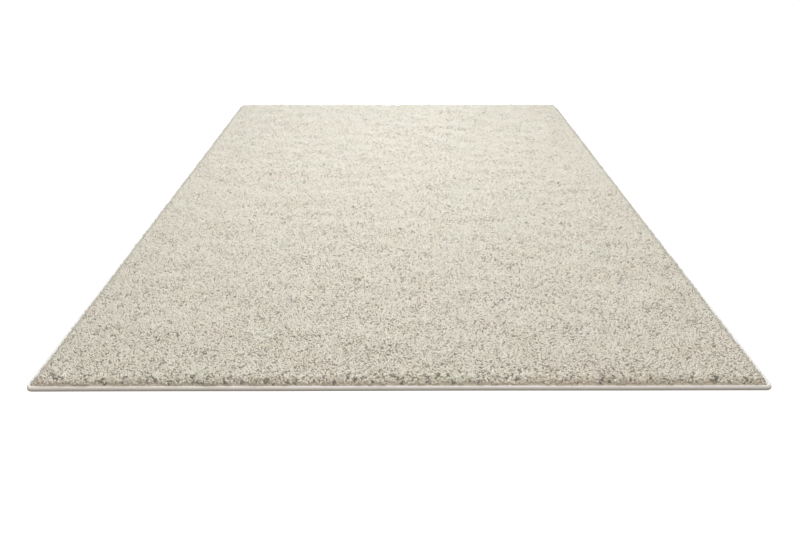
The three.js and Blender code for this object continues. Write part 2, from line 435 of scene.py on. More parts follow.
# %% [markdown]
# ### Rim
# The bed would show between tufts just behind the serging, so the rim is planted twice, the second time a
# little further out. At the rug's two ends the pile bends over the binding and opens, and its tufts are far
# less even.

# %% Tufts of the rim
RIM_LEAN_WIDTH = 22.0 * MM
RIM_SHIFT = 5.5 * MM
RIM_UNRULY = 4.0


def at_ends(x, y):
    """Which places lie in the rim at one of the rug's two ends."""
    return insets(x, y)[1] < RIM_LEAN_WIDTH


def add_second_rim():
    """The tufts' facts, with those of the rim's second planting after them."""
    at_rim = np.minimum(*insets(tuft_x, tuft_y)) < RIM_LEAN_WIDTH
    out_x, out_y = outwards(tuft_x[at_rim], tuft_y[at_rim])
    x = np.concatenate([tuft_x, tuft_x[at_rim] + RIM_SHIFT * out_x])
    y = np.concatenate([tuft_y, tuft_y[at_rim] + RIM_SHIFT * out_y])
    unruly = 1 + RIM_UNRULY * at_ends(x, y)
    rise = unruly * np.concatenate([tuft_rise, tuft_rise[at_rim]])
    lean = unruly * np.concatenate([tuft_lean, tuft_lean[:, at_rim]], axis=1)
    return x, y, rise, lean


# %% [markdown]
# ### Ends of a tuft
# Six ends stand round the middle one and fan apart from it. Towards the rim the ends lean out more and
# more, and the outermost reach over the back of the serging, but never past its top.

# %% Places of the ends
ENDS_ROUND = 6
TUFT_REACH = 4.6 * MM
END_STRAY = 1.15 * MM


def fan_out(middle_x, middle_y):
    """Where each tuft's ends stand, and how far each lies from its tuft's middle."""
    places = np.arange(ENDS_ROUND + 1)
    turn = rng.uniform(0, 2 * np.pi, (middle_x.size, 1)) + 2 * np.pi * places / ENDS_ROUND
    reach = np.where(places < ENDS_ROUND, TUFT_REACH, 0.0)
    fan_x, fan_y = reach * np.cos(turn), reach * np.sin(turn)
    x = (middle_x[:, None] + fan_x).ravel() + END_STRAY * rng.normal(size=fan_x.size)
    y = (middle_y[:, None] + fan_y).ravel() + END_STRAY * rng.normal(size=fan_y.size)
    return x, y, fan_x.ravel(), fan_y.ravel()


# %% Lean of the ends
END_LEAN = math.radians(7)
FAN_LEAN = math.radians(14)
RIM_LEANS = (math.radians(34), math.radians(50))
RIM_WILD = 1.5
OVERHANG = 3.5 * MM


def wildness(x, y):
    """How much less even the ends are than usual, as a factor."""
    return 1 + RIM_WILD * at_ends(x, y)


def lean_ends(x, y, fan_x, fan_y, tuft_way):
    """How far each end leans along X and Y: its own way, its tuft's, apart and outwards."""
    out_x, out_y = outwards(x, y)
    rim = 1 - np.clip(np.minimum(*insets(x, y)) / RIM_LEAN_WIDTH, 0, 1)
    own = wildness(x, y) * END_LEAN * rng.normal(size=(2, x.size))
    lean = own + np.repeat(tuft_way, ENDS_ROUND + 1, axis=1)
    lean_x = lean[0] + FAN_LEAN * fan_x / TUFT_REACH + RIM_LEANS[0] * rim * out_x
    lean_y = lean[1] + FAN_LEAN * fan_y / TUFT_REACH + RIM_LEANS[1] * rim * out_y
    return lean_x, lean_y


def hold_back(x, y, tall, lean_x, lean_y):
    """The leans, less what would take an end of this height out past the top of the serging."""
    out_x, out_y = outwards(x, y)
    most = np.arctan2(np.minimum(*insets(x, y)) + OVERHANG, tall)
    over = np.maximum(lean_x * out_x + lean_y * out_y - most, 0)
    return lean_x - over * out_x, lean_y - over * out_y


# %% [markdown]
# ### Partings
# Where two tufts lean apart, a short dark line opens between them. The ends along it are sunk, and their
# colour is darkened with painted shade, because the gaps between ends this wide would be too even by
# themselves. A tree of places finds the ends near a line quickly. The last lines lie in the rims at the rug's
# two ends, where the bent pile opens most.

# %% Partings
PARTINGS = 16000
RIM_PARTINGS = 180
PARTING_HALF = (0.3 * MM, 2.0 * MM)
PARTING_REACH = 2.1 * MM
FIRST_INSET = 2.0 * MM


def parted(x, y):
    """Which ends lie along a parting."""
    tree = KDTree(x.size)
    for number, place in enumerate(zip(x, y)):
        tree.insert((*place, 0), number)
    tree.balance()
    marks = np.zeros(x.size, bool)
    count = PARTINGS + RIM_PARTINGS
    middles_x = rng.uniform(-CLOTH_HALF_WIDTH, CLOTH_HALF_WIDTH, count)
    middles_y = rng.uniform(-CLOTH_HALF_LENGTH, CLOTH_HALF_LENGTH, count)
    in_rim = CLOTH_HALF_LENGTH - rng.uniform(FIRST_INSET, RIM_LEAN_WIDTH, RIM_PARTINGS)
    middles_y[PARTINGS:] = in_rim * rng.choice((-1, 1), RIM_PARTINGS)
    ways = rng.uniform(0, np.pi, count)
    halves = rng.uniform(*PARTING_HALF, count)
    for middle_x, middle_y, way, half in zip(middles_x, middles_y, ways, halves):
        along_x, along_y = math.cos(way), math.sin(way)
        for place, number, _ in tree.find_range((middle_x, middle_y, 0), half + PARTING_REACH):
            from_x, from_y = place[0] - middle_x, place[1] - middle_y
            marks[number] |= abs(from_x * along_y - from_y * along_x) < PARTING_REACH
    return marks


# %% [markdown]
# ### Roots
# Each end needs a root: a place in the bed, a way to lean, a length and a shade. Sums over whole rows of
# numbers work out all of them at once, and the roots then become loose points that carry these facts.

# %% Shades of the ends
END_SHADES = (0.95, 1.02)
# Painted shade: ends near the long sides are darkened by up to this share.
SIDE_SHADE = 0.15
# Painted shade in the partings: their ends' colour is multiplied by these, and at the rug's ends by the last
# pair too.
PARTING_SHADES = (0.7, 0.9)
# Painted light and shade: at the rug's ends the ends are made lighter on the whole and less even.
RIM_SHADES = (0.98, 1.13)
RIM_PARTING_SHADES = (0.4, 0.7)


def shade_ends(x, y, sunk):
    """How light each end is: painted shade at the long sides and in partings, uneven painted light at the
    rug's ends.
    """
    side = 1 - np.clip(insets(x, y)[0] / RIM_LEAN_WIDTH, 0, 1)
    shade = rng.uniform(*END_SHADES, x.size) * (1 - SIDE_SHADE * side)
    in_rim = at_ends(x, y)
    for chosen, shades in ((sunk, PARTING_SHADES), (in_rim, RIM_SHADES), (in_rim & sunk, RIM_PARTING_SHADES)):
        shade *= np.where(chosen, rng.uniform(*shades, x.size), 1.0)
    return shade


# %% Roots
ROOT_DEPTH = 0.5 * MM
END_HEIGHT = 0.5 * MM
PARTING_SINK = 3.5 * MM
LEAST_HEIGHT = 3.0 * MM
MOST_LEAN = math.radians(55)
CORNER_RADIUS = 7.0 * MM
LOOSE_SHARE = 0.02
LOOSE_INSET = 12.0 * MM


def plant_roots():
    """The place, lean, heading, length and shade of each yarn end."""
    middle_x, middle_y, rise, tuft_way = add_second_rim()
    x, y, fan_x, fan_y = fan_out(middle_x, middle_y)
    lean_x, lean_y = lean_ends(x, y, fan_x, fan_y, tuft_way)
    z = np.maximum(bed_height(x, y) - ROOT_DEPTH, CLOTH_THICKNESS)
    sunk = parted(x, y)
    ragged = np.repeat(rise, ENDS_ROUND + 1) + wildness(x, y) * END_HEIGHT * rng.normal(size=x.size)
    tall = np.maximum(tip_height(x, y) + ragged - PARTING_SINK * sunk - z, LEAST_HEIGHT)
    lean_x, lean_y = hold_back(x, y, tall, lean_x, lean_y)
    shade = shade_ends(x, y, sunk)
    inset_x, inset_y = insets(x, y)
    inset = np.minimum(inset_x, inset_y)
    into_corner = np.hypot(np.maximum(CORNER_RADIUS - inset_x, 0), np.maximum(CORNER_RADIUS - inset_y, 0))
    kept = (inset > FIRST_INSET) & (into_corner < CORNER_RADIUS)
    facts = {
        "x": x,
        "y": y,
        "z": z,
        # An axis and an angle in one: turning about it tips the end the way it leans.
        "lean": np.stack([-lean_y, lean_x, np.zeros_like(x)], -1),
        "heading": rng.uniform(0, 2 * np.pi, x.size),
        "length": tall / np.cos(np.minimum(np.hypot(lean_x, lean_y), MOST_LEAN)),
        "shade": shade,
        "loose": (rng.uniform(0, 1, x.size) < LOOSE_SHARE) & (inset > LOOSE_INSET) & ~sunk,
    }
    return {name: values[kept] for name, values in facts.items()}


roots = plant_roots()
print("yarn ends", len(roots["x"]))

# %% Roots as points
ROOT_FACTS = {
    "heading": "FLOAT",
    "length": "FLOAT",
    "shade": "FLOAT",
    "lean": "FLOAT_VECTOR",
    "loose": "BOOLEAN",
}


def root_mesh(name, chosen):
    """The chosen roots as loose points that carry their facts as attributes."""
    mesh = bpy.data.meshes.new(name)
    mesh.from_pydata(np.stack([roots[axis][chosen] for axis in "xyz"], -1).tolist(), [], [])
    for fact, kind in ROOT_FACTS.items():
        field = "vector" if kind == "FLOAT_VECTOR" else "value"
        mesh.attributes.new(fact, kind, "POINT").data.foreach_set(field, roots[fact][chosen].ravel())
    return mesh


# %% [markdown]
# ## Yarn ends
# A cut end of heat-set yarn is fat where it leaves the bed, and its fibres close to a soft tip. Each of the
# two hundred thousand is seen as a speck, so most are three-sided cones of four triangles. A peg with a
# flat cut tip was the other choice, but light falls into the gaps between cones more softly. One end in
# fifty has worked loose and lies bent over its neighbours: it is thinner and has a waist.

# %% Yarn end helpers
YARN_SIDES = 3
UNIT_LENGTH = 10.0 * MM
UP = Vector((0, 0, 1))
ROOT = Vector((0, 0, 0))


def ring(centre, direction, radius, turn):
    """Corners round a centre, square to a direction, anticlockwise as seen from its end."""
    side = direction.orthogonal().normalized()
    other = direction.cross(side).normalized()
    angles = [turn + 2 * math.pi * corner / YARN_SIDES for corner in range(YARN_SIDES)]
    return [centre + radius * (side * math.cos(a) + other * math.sin(a)) for a in angles]


def end_mesh(name, places, faces, corners):
    """A yarn end whose corners hold their place round and along the yarn."""
    mesh = bpy.data.meshes.new(name)
    mesh.from_pydata([tuple(place) for place in places], [], faces)
    along = mesh.attributes.new("along_yarn", "FLOAT_VECTOR", "CORNER")
    along.data.foreach_set("vector", np.array([(u, v, 0.0) for u, v in corners]).ravel())
    mesh.shade_smooth()
    return mesh


# %% Cone
CONE_RADIUS = 5.5 * MM
# The foot of a cone takes this share of an end's own square in the texture map, and its sides take the rest.
FOOT_SHARE = 0.05


def cone_end(name, tip, turn):
    """A closed cone of yarn that stands on its three-cornered foot."""
    places = [*ring(ROOT, UP, CONE_RADIUS, turn), tip]
    faces, corners = [(2, 1, 0)], [(0.0, 0.0), (0.5, FOOT_SHARE), (1.0, 0.0)]
    for k in range(YARN_SIDES):
        faces.append((k, (k + 1) % YARN_SIDES, YARN_SIDES))
        u, w = k / YARN_SIDES, (k + 1) / YARN_SIDES
        corners += [(u, FOOT_SHARE), (w, FOOT_SHARE), ((u + w) / 2, 1.0)]
    return end_mesh(name, places, faces, corners)


# %% Loose end
LOOSE_RADIUS = 1.7 * MM
# The sides of a loose end take this share of its square, and its cut tip takes the rest.
SIDE_SHARE = 0.65


def loose_end(name, stops, turn):
    """A closed, bent end of yarn from a point through its waist to its cut tip."""
    stops = [ROOT, *stops]
    places, faces, corners = [stops[0]], [], []
    for step, (before, here) in enumerate(zip(stops, stops[1:])):
        after = stops[min(step + 2, len(stops) - 1)]
        places += ring(here, (after - before).normalized(), LOOSE_RADIUS, turn)
    shares = np.linspace(0, SIDE_SHARE, len(stops))
    for k in range(YARN_SIDES):
        n = (k + 1) % YARN_SIDES
        u, w = k / YARN_SIDES, (k + 1) / YARN_SIDES
        faces.append((0, 1 + n, 1 + k))
        corners += [((u + w) / 2, shares[0]), (w, shares[1]), (u, shares[1])]
        for low in range(1, len(stops) - 1):
            first = 1 + (low - 1) * YARN_SIDES
            faces.append((first + k, first + n, first + YARN_SIDES + n, first + YARN_SIDES + k))
            corners += [(u, shares[low]), (w, shares[low]), (w, shares[low + 1]), (u, shares[low + 1])]
    last = len(places) - YARN_SIDES
    faces.append(tuple(range(last, last + YARN_SIDES)))
    corners += [(0.0, SIDE_SHARE), (1.0, SIDE_SHARE), (0.5, 1.0)]
    return end_mesh(name, places, faces, corners)


# %% The eight shapes
SHAPE_TURN = 0.7
# The tip of each cone, as shares of its length: its swing to one side, and its height.
CONE_TIPS = ((0.0, 1.0), (0.08, 1.0), (0.12, 0.97), (0.04, 1.03))
# Each loose end's waist and tip, as shares of its length: waist out and up, tip out, up and sideways.
LOOSE_BENDS = (
    (0.10, 0.95, 0.85, 1.12, 0.20),
    (0.15, 0.98, 1.00, 1.05, -0.30),
    (0.05, 0.92, 0.80, 1.15, 0.35),
    (0.20, 1.00, 1.05, 0.98, -0.15),
)

end_meshes = []
for number, (swing, rise) in enumerate(CONE_TIPS):
    tip = Vector((swing, 0, rise)) * UNIT_LENGTH
    end_meshes.append(cone_end(f"cone_end_{number}", tip, SHAPE_TURN * number))
for number, (waist_out, waist_up, tip_out, tip_up, tip_aside) in enumerate(LOOSE_BENDS):
    waist = Vector((waist_out, 0, waist_up)) * UNIT_LENGTH
    tip = Vector((tip_out, tip_aside, tip_up)) * UNIT_LENGTH
    end_meshes.append(loose_end(f"loose_end_{number}", [waist, tip], SHAPE_TURN * number))

# The tree picks a shape by its place in the list of names, so the cones' names come first.
yarn_ends = bpy.data.collections.new("yarn_ends")
for mesh in end_meshes:
    yarn_ends.objects.link(bpy.data.objects.new(mesh.name, mesh))
for shape in (yarn_ends.objects[0], yarn_ends.objects[-1]):
    print(shape.name, sum(len(face.vertices) - 2 for face in shape.data.polygons), "triangles")

# %% [markdown]
# ### The tree that plants them
# A script would take long to place two hundred thousand ends one by one. Geometry Nodes put one end on each
# root, turn it to its heading, tip it and size it, in seconds. Each end also gets a small square of its own
# in the piece's texture map, in rows and columns like a seed tray, so that a baked texture can hold every
# end without overlaps.

# %% Tree helpers
def new_tree(name, inputs, result):
    """A Geometry Nodes tree with named inputs and one result, and its inputs' sockets."""
    tree = bpy.data.node_groups.new(name, "GeometryNodeTree")
    for label, kind in inputs.items():
        tree.interface.new_socket(label, in_out="INPUT", socket_type=f"NodeSocket{kind}")
    tree.interface.new_socket(result, in_out="OUTPUT", socket_type="NodeSocketGeometry")
    return tree, tree.nodes.new("NodeGroupInput").outputs


def grow(name, source, tree, values):
    """The piece of plain mesh that a tree makes of an object, which is used up."""
    modifier = source.modifiers.new("grow", "NODES")
    modifier.node_group = tree
    for item in tree.interface.items_tree:
        if item.in_out == "INPUT" and item.name in values:
            modifier[item.identifier] = values[item.name]
    evaluated = source.evaluated_get(bpy.context.evaluated_depsgraph_get())
    mesh = bpy.data.meshes.new_from_object(evaluated)
    mesh.name = name
    mesh.calc_loop_triangles()
    bpy.data.objects.remove(source)
    return add_object(name, mesh)


# %% Which shape, and how thick
def pick_shape(tree, given, loose):
    """The number of a root's shape: a cone, or one of the loose ends that come after them."""
    last = add_node(tree, "ShaderNodeMath", {0: given["Cones"], 1: 1.0}, operation="SUBTRACT")
    cones = {"Min": 0, "Max": last.outputs[0], "Seed": given["Seed"]}
    pick = add_node(tree, "FunctionNodeRandomValue", cones, data_type="INT")
    values = {0: loose, 1: given["Cones"], 2: pick.outputs["Value"]}
    return add_node(tree, "ShaderNodeMath", values, operation="MULTIPLY_ADD").outputs[0]


def pick_girth(tree, given):
    """How thick a root's yarn is, as a factor."""
    seed = add_node(tree, "ShaderNodeMath", {0: given["Seed"], 1: 1.0}, operation="ADD")
    values = {"Min": given["Least Girth"], "Max": given["Most Girth"], "Seed": seed.outputs[0]}
    return add_node(tree, "FunctionNodeRandomValue", values, data_type="FLOAT").outputs["Value"]


# %% Which way it stands
def tip_over(tree, heading, lean):
    """A root's turn: the heading first, and then the lean, which turns about an axis that lies flat."""
    angle = add_node(tree, "ShaderNodeVectorMath", {0: lean}, operation="LENGTH")
    leant = {"Axis": lean, "Angle": angle.outputs["Value"]}
    spun = {"Axis": UP, "Angle": heading}
    first, then = (add_node(tree, "FunctionNodeAxisAngleToRotation", way).outputs[0] for way in (spun, leant))
    both = {"Rotation": first, "Rotate By": then}
    return add_node(tree, "FunctionNodeRotateRotation", both, rotation_space="GLOBAL").outputs[0]


# %% Its square in the tray
def tray_square(tree, given, number, along):
    """An end's own square of the texture map, with a margin round it."""
    columns, margin = given["Tray Columns"], given["Tray Margin"]
    column = add_node(tree, "ShaderNodeMath", {0: number, 1: columns}, operation="MODULO")
    passed = add_node(tree, "ShaderNodeMath", {0: number, 1: columns}, operation="DIVIDE")
    row = add_node(tree, "ShaderNodeMath", {0: passed.outputs[0]}, operation="FLOOR")
    corner = add_node(tree, "ShaderNodeCombineXYZ", {"X": column.outputs[0], "Y": row.outputs[0]})
    margins = add_node(tree, "ShaderNodeMath", {0: margin, 1: 2.0}, operation="MULTIPLY")
    inner = add_node(tree, "ShaderNodeMath", {0: 1.0, 1: margins.outputs[0]}, operation="SUBTRACT")
    shrunk = {0: along, 1: inner.outputs[0], 2: margin}
    inside = add_node(tree, "ShaderNodeVectorMath", shrunk, operation="MULTIPLY_ADD")
    both = {0: corner.outputs[0], 1: inside.outputs[0]}
    place = add_node(tree, "ShaderNodeVectorMath", both, operation="ADD").outputs[0]
    return add_node(tree, "ShaderNodeVectorMath", {0: place, 1: columns}, operation="DIVIDE").outputs[0]


# %% Planting tree
PLANTING_INPUTS = {
    "Roots": "Geometry",
    "Yarn Ends": "Collection",
    "Cones": "Int",
    "Unit Length": "Float",
    "Least Girth": "Float",
    "Most Girth": "Float",
    "Tray Columns": "Float",
    "Tray Margin": "Float",
    "Seed": "Int",
    "Yarn": "Material",
}
# What the tree reads by name: the roots' facts, and what each planted end carries.
NAMED_FACTS = {**ROOT_FACTS, "number": "FLOAT", "along_yarn": "FLOAT_VECTOR"}


def planting_tree():
    """A tree that turns loose roots into planted yarn ends."""
    tree, given = new_tree("plant_yarn_ends", PLANTING_INPUTS, "Pile")
    fact = {}
    for name, kind in NAMED_FACTS.items():
        node = add_node(tree, "GeometryNodeInputNamedAttribute", {"Name": name}, data_type=kind)
        fact[name] = node.outputs["Attribute"]
    girth = pick_girth(tree, given)
    values = {0: fact["length"], 1: given["Unit Length"]}
    long = add_node(tree, "ShaderNodeMath", values, operation="DIVIDE").outputs[0]
    size = add_node(tree, "ShaderNodeCombineXYZ", {"X": girth, "Y": girth, "Z": long})
    each = {"Collection": given["Yarn Ends"], "Separate Children": True, "Reset Children": True}
    shapes = add_node(tree, "GeometryNodeCollectionInfo", each)
    planted = add_node(
        tree,
        "GeometryNodeInstanceOnPoints",
        {
            "Points": given["Roots"],
            "Instance": shapes.outputs[0],
            "Pick Instance": True,
            "Instance Index": pick_shape(tree, given, fact["loose"]),
            "Rotation": tip_over(tree, fact["heading"], fact["lean"]),
            "Scale": size.outputs[0],
        },
    )
    index = add_node(tree, "GeometryNodeInputIndex").outputs[0]
    numbered = add_node(
        tree,
        "GeometryNodeStoreNamedAttribute",
        {"Geometry": planted.outputs[0], "Name": "number", "Value": index},
        data_type="FLOAT",
        domain="INSTANCE",
    )
    real = add_node(tree, "GeometryNodeRealizeInstances", {"Geometry": numbered.outputs[0]})
    square = tray_square(tree, given, fact["number"], fact["along_yarn"])
    mapped = add_node(
        tree,
        "GeometryNodeStoreNamedAttribute",
        {"Geometry": real.outputs[0], "Name": "OFBake", "Value": square},
        data_type="FLOAT2",
        domain="CORNER",
    )
    own = add_node(tree, "ShaderNodeSeparateXYZ", {"Vector": fact["along_yarn"]}).outputs
    strand = add_node(tree, "ShaderNodeCombineXYZ", {"X": own["X"], "Y": own["Y"], "Z": fact["shade"]})
    marked = add_node(
        tree,
        "GeometryNodeStoreNamedAttribute",
        {"Geometry": mapped.outputs[0], "Name": "strand", "Value": strand.outputs[0]},
        data_type="FLOAT_VECTOR",
        domain="CORNER",
    )
    ends = marked.outputs[0]
    dyed = add_node(tree, "GeometryNodeSetMaterial", {"Geometry": ends, "Material": given["Yarn"]})
    add_node(tree, "NodeGroupOutput", {"Pile": dyed.outputs[0]})
    return tree


# %% [markdown]
# ## Pile yarn
# Heat-set polypropylene, spun thick and twisted, then cut. The cut ends are cream and matt, with a slight
# sheen where the light grazes them. No two ends take the dye or the light alike. Each end's colour is
# darkened towards its foot, as painted shade for the shade deep in the pile. Over a hand's breadth the rug
# drifts from a
# pinkish cream to a greenish one: painted light and shade for pile that is brushed another way. An image
# could give the drift, but soft noise of the right size has no seams.

# %% Patches of colour
# The drift between pinkish and greenish cream is painted light and shade, for pile brushed different ways.
PATCH_SIZE = 150.0 * MM
PATCH_CONTRAST = 0.16
SMALL_PATCH_SIZE = 38.0 * MM
SMALL_PATCH_CONTRAST = 0.3
PINKISH_CREAM = linear("#F6EEE0")
GREENISH_CREAM = linear("#F1F0E0")
PALE_CREAM = linear("#F8F3E9")
# The painted shade at the yarn's foot: its tint, its share there, and how far up the yarn it has faded away.
FOOT_SHADE_TINT = linear("#E1DBD0")
FOOT_SHADE_SHARE = 0.7
FOOT_SHADE_REACH = 0.6


def patches(tree, size, contrast):
    """Soft patches of a real size, from 0 to 1, fixed to the object."""
    place = add_node(tree, "ShaderNodeTexCoord").outputs["Object"]
    noise = add_node(tree, "ShaderNodeTexNoise", {"Vector": place, "Scale": 1 / size, "Detail": 2.0})
    spread = {"Value": noise.outputs["Fac"], "From Min": 0.5 - contrast, "From Max": 0.5 + contrast}
    return add_node(tree, "ShaderNodeMapRange", spread).outputs["Result"]


def pile_colour(tree, shade, height):
    """The yarn's colour from the end's shade and place along the yarn, with painted shade at the foot."""
    # Painted shade: the colour darkens where the height is low, at the yarn's foot and between the bed's
    # bumps.
    shade_fade = {"Value": height, "From Max": FOOT_SHADE_REACH, "To Min": FOOT_SHADE_SHARE, "To Max": 0.0}
    foot_shade = add_node(tree, "ShaderNodeMapRange", shade_fade).outputs["Result"]
    # How much of each layer goes over those before it, the layer, and how it blends with them.
    layers = (
        (patches(tree, PATCH_SIZE, PATCH_CONTRAST), GREENISH_CREAM, "MIX"),
        (patches(tree, SMALL_PATCH_SIZE, SMALL_PATCH_CONTRAST), PALE_CREAM, "MIX"),
        (1.0, shade, "MULTIPLY"),
        (foot_shade, FOOT_SHADE_TINT, "MULTIPLY"),
    )
    colour = PINKISH_CREAM
    for share, layer, blend in layers:
        values = {"Factor": share, "A": colour, "B": layer}
        mix = add_node(tree, "ShaderNodeMix", values, data_type="RGBA", blend_type=blend)
        colour = mix.outputs["Result"]
    return colour


# %% Pile yarn
TWIST_TURNS = 3.0
PLY_RELIEF = 0.4 * MM

pile_yarn, tree = new_material("heat_set_twisted_polypropylene_yarn")
strand = add_node(tree, "ShaderNodeAttribute", attribute_name="strand")
own = add_node(tree, "ShaderNodeSeparateXYZ", {"Vector": strand.outputs["Vector"]}).outputs
# The plies wind round the yarn as they climb it.
wound = add_node(tree, "ShaderNodeMath", {0: own["Y"], 1: TWIST_TURNS, 2: own["X"]}, operation="MULTIPLY_ADD")
turn = add_node(tree, "ShaderNodeMath", {0: wound.outputs[0], 1: 2 * math.pi}, operation="MULTIPLY")
twist = add_node(tree, "ShaderNodeMath", {0: turn.outputs[0]}, operation="SINE")
relief = {"Strength": 0.35, "Distance": PLY_RELIEF, "Height": twist.outputs[0]}
plies = add_node(tree, "ShaderNodeBump", relief)
yarn_shader = add_node(
    tree,
    "ShaderNodeBsdfPrincipled",
    {
        "Base Color": pile_colour(tree, own["Z"], own["Y"]),
        "Normal": plies.outputs["Normal"],
        "Roughness": 0.82,
        "IOR": 1.49,
        "Specular IOR Level": 0.3,
        "Sheen Weight": 0.25,
        "Sheen Roughness": 0.5,
    },
)
add_node(tree, "ShaderNodeOutputMaterial", {"Surface": yarn_shader.outputs["BSDF"]})

# %% [markdown]
# ## Plant the pile
# The pile has over eight hundred thousand triangles, too many for one piece, so it is planted in five
# strips that run the length of the rug. No seam shows, because the tufts stand across it.

# %% Plant the pile
STRIPS = 5
GIRTHS = (0.85, 1.15)
TRAY_MARGIN = 0.08
plant = planting_tree()


def planted_strip(number):
    """One lengthwise strip of the pile, as a plain mesh."""
    low = -HALF_WIDTH + 2 * HALF_WIDTH * number / STRIPS
    high = low + 2 * HALF_WIDTH / STRIPS
    chosen = (roots["x"] >= low) & (roots["x"] < high)
    name = f"pile_{number + 1}"
    source = add_object(f"{name}_roots", root_mesh(f"{name}_roots", chosen))
    values = {
        "Yarn Ends": yarn_ends,
        "Cones": len(CONE_TIPS),
        "Unit Length": UNIT_LENGTH,
        "Least Girth": GIRTHS[0],
        "Most Girth": GIRTHS[1],
        "Tray Columns": float(math.ceil(math.sqrt(chosen.sum()))),
        "Tray Margin": TRAY_MARGIN,
        "Seed": number,
        "Yarn": pile_yarn,
    }
    piece = grow(name, source, plant, values)
    for spare in NAMED_FACTS:
        if spare in piece.data.attributes:
            piece.data.attributes.remove(piece.data.attributes[spare])
    print(name, int(chosen.sum()), "yarn ends", len(piece.data.loop_triangles), "triangles")
    return piece


pile_strips = [planted_strip(number) for number in range(STRIPS)]
for shape in list(yarn_ends.objects):
    bpy.data.objects.remove(shape)
bpy.data.collections.remove(yarn_ends)

# %% [markdown]
# ## Bed and cloth finish
# Between the tips the bed shows as the same yarn, in soft bumps the size of a yarn. Its colour is darkened to
# under half, and more between the bumps: painted shade, for the shade down between the tips. Behind the
# serging a narrow ledge of it lies in the open, and there the painted shade is left off, so it is as pale as
# the tips. Under the rug the ground is a plain weave of flat polypropylene tape, pale brown, with a dull
# sheen.

# %% Bed finish
LEDGE_WIDTH = 9.0 * MM
YARN_SPACING = 4.0 * MM
YARN_RELIEF = 1.5 * MM
# Painted shade: the bed's colour is multiplied by this share, except on the ledge, where it is left at 1.
BED_PAINTED_SHADE = 0.41
LEDGE_SHADE = 1.0

bed_places = np.array([vertex.co for vertex in bed.data.vertices])
ledge = 1 - np.clip(np.minimum(*insets(bed_places[:, 0], bed_places[:, 1])) / LEDGE_WIDTH, 0, 1)
bed.data.attributes.new("ledge", "FLOAT", "POINT").data.foreach_set("value", ledge)

packed_yarn, tree = new_material("packed_polypropylene_yarn")
place = add_node(tree, "ShaderNodeTexCoord").outputs["Object"]
yarns = add_node(tree, "ShaderNodeTexVoronoi", {"Vector": place, "Scale": 1 / YARN_SPACING})
relief = {"Strength": 0.8, "Distance": YARN_RELIEF, "Height": yarns.outputs["Distance"]}
bumps = add_node(tree, "ShaderNodeBump", relief, invert=True)
on_ledge = add_node(tree, "ShaderNodeAttribute", attribute_name="ledge").outputs["Fac"]
shades = {"Factor": on_ledge, "A": (*[BED_PAINTED_SHADE] * 3, 1.0), "B": (*[LEDGE_SHADE] * 3, 1.0)}
painted_bed_shade = add_node(tree, "ShaderNodeMix", shades, data_type="RGBA")
near_top = add_node(tree, "ShaderNodeMath", {0: 1.0, 1: yarns.outputs["Distance"]}, operation="SUBTRACT")
packed_shader = add_node(
    tree,
    "ShaderNodeBsdfPrincipled",
    {
        "Base Color": pile_colour(tree, painted_bed_shade.outputs["Result"], near_top.outputs[0]),
        "Normal": bumps.outputs["Normal"],
        "Roughness": 0.9,
        "IOR": 1.49,
        "Specular IOR Level": 0.2,
    },
)
add_node(tree, "ShaderNodeOutputMaterial", {"Surface": packed_shader.outputs["BSDF"]})
bed.data.materials.append(packed_yarn)

# %% Cloth finish
TAPE_PITCH = 3.2 * MM
TAPE_RELIEF = 0.5 * MM

woven_ground, tree = new_material("woven_polypropylene_tape")
place = add_node(tree, "ShaderNodeTexCoord").outputs["Object"]
along = add_node(tree, "ShaderNodeSeparateXYZ", {"Vector": place}).outputs
tapes = []
for axis in ("X", "Y"):
    pitches = {0: along[axis], 1: 2 * math.pi / TAPE_PITCH}
    turn = add_node(tree, "ShaderNodeMath", pitches, operation="MULTIPLY")
    tapes.append(add_node(tree, "ShaderNodeMath", {0: turn.outputs[0]}, operation="SINE").outputs[0])
crossed = add_node(tree, "ShaderNodeMath", {0: tapes[0], 1: tapes[1]}, operation="MULTIPLY")
woven = {"Value": crossed.outputs[0], "From Min": -1.0}
weave = add_node(tree, "ShaderNodeMapRange", woven).outputs["Result"]
ribs = add_node(tree, "ShaderNodeBump", {"Strength": 0.6, "Distance": TAPE_RELIEF, "Height": weave})
browns = {"Factor": weave, "A": linear("#A9987C"), "B": linear("#C9BB9F")}
brown = add_node(tree, "ShaderNodeMix", browns, data_type="RGBA")
tape = add_node(
    tree,
    "ShaderNodeBsdfPrincipled",
    {
        "Base Color": brown.outputs["Result"],
        "Normal": ribs.outputs["Normal"],
        "Roughness": 0.6,
        "IOR": 1.49,
    },
)
add_node(tree, "ShaderNodeOutputMaterial", {"Surface": tape.outputs["BSDF"]})
ground.data.materials.append(woven_ground)

# %% [markdown]
# ## Serged edge
# A thick polyester yarn is wound round the cloth's edge and a cord along all four sides. On the rug it
# reads as a smooth, rounded rim with fine turns across it, and it goes round the corners without a break.
# The yarn's turns bulge about a millimetre over the plain model's binding. A wound helix would need too
# many triangles, so Geometry Nodes sweep a small section along the edge and swell it slightly at each turn
# of yarn. The turns are drawn coarser than real ones, so that they can be seen.

# %% Serging path
CORNER_STEPS = 5
EDGE_STEP = 20.0 * MM
SERGING_WIDTH = 9.6 * MM
SERGING_OUT = SEAM + BINDING_WIDTH - SERGING_WIDTH / 2


